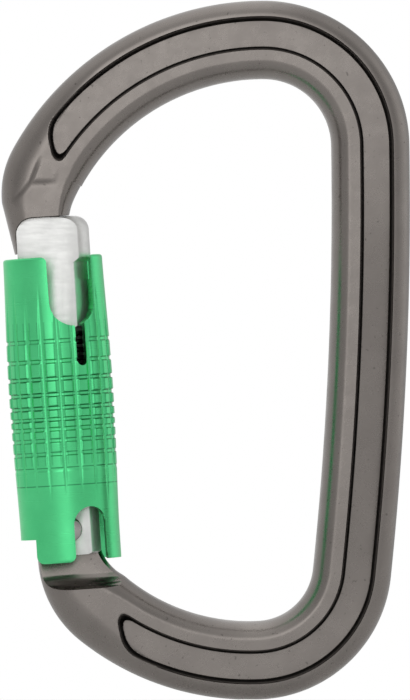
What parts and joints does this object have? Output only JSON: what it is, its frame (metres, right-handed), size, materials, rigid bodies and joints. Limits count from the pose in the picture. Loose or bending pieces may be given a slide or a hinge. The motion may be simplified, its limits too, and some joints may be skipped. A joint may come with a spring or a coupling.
{
  "type": "locking carabiner",
  "caption": "Asymmetric D-shaped locking carabiner: forged I-beam frame, sprung keyed gate, and a knurled auto-locking sleeve that lifts and twists.",
  "frame": {"origin": "the inside of the top basket at mid thickness, where an anchor or sling bears", "axes": "+Z along the load line towards the top basket, +X from the gate to the spine, -Y out of the front face"},
  "size_m": [0.0631, 0.0162, 0.1079],
  "materials": {
    "frame_anodised": "hot-forged aluminium, semi-gloss titanium-grey anodising",
    "gate_aluminium": "satin silver aluminium",
    "sleeve_anodised": "machined aluminium, satin green anodising",
    "steel": "plain stainless steel",
    "spring_steel": "drawn stainless spring wire, dulled",
    "acetal": "moulded black acetal"
  },
  "bodies": {
    "frame": {"frame_body": "frame_anodised", "gate_rivet": "steel"},
    "gate": {"gate": "gate_aluminium", "guide_pin": "steel", "gate_spring": "spring_steel", "sleeve_spring": "spring_steel"},
    "plunger": {"gate_plunger": "steel"},
    "seat": {"spring_seat": "acetal"},
    "sleeve": {"locking_sleeve": "sleeve_anodised"}
  },
  "joints": [
    {"name": "gate_swing", "type": "hinge", "parent": "frame", "child": "gate", "pos_m": [-0.02992, 0, -0.06954], "axis": [0, 1, 0], "range_deg": [0, 25], "stiffness_Nm_per_rad": 0.25, "springref_deg": -45.84},
    {"name": "plunger_slide", "type": "slide", "parent": "gate", "child": "plunger", "axis": [-0.0647, 0, 0.9979], "range_m": [0, 0.00075], "deforming": ["gate_spring"]},
    {"name": "sleeve_lift", "type": "slide", "parent": "gate", "child": "seat", "axis": [-0.0647, 0, 0.9979], "range_m": [0, 0.00355], "deforming": ["sleeve_spring"]},
    {"name": "sleeve_twist", "type": "hinge", "parent": "seat", "child": "sleeve", "pos_m": [-0.02992, 0, -0.06954], "axis": [-0.0647, 0, 0.9979], "range_deg": [0, 72], "stiffness_Nm_per_rad": 0.02, "springref_deg": -34.38}
  ],
  "couplings": [
    {"joint": "plunger_slide", "follows": "gate_swing", "m_per_rad": 0.0016043},
    {"joint": "sleeve_lift", "follows": "gate_swing", "m_per_rad": 0.0080214}
  ]
}
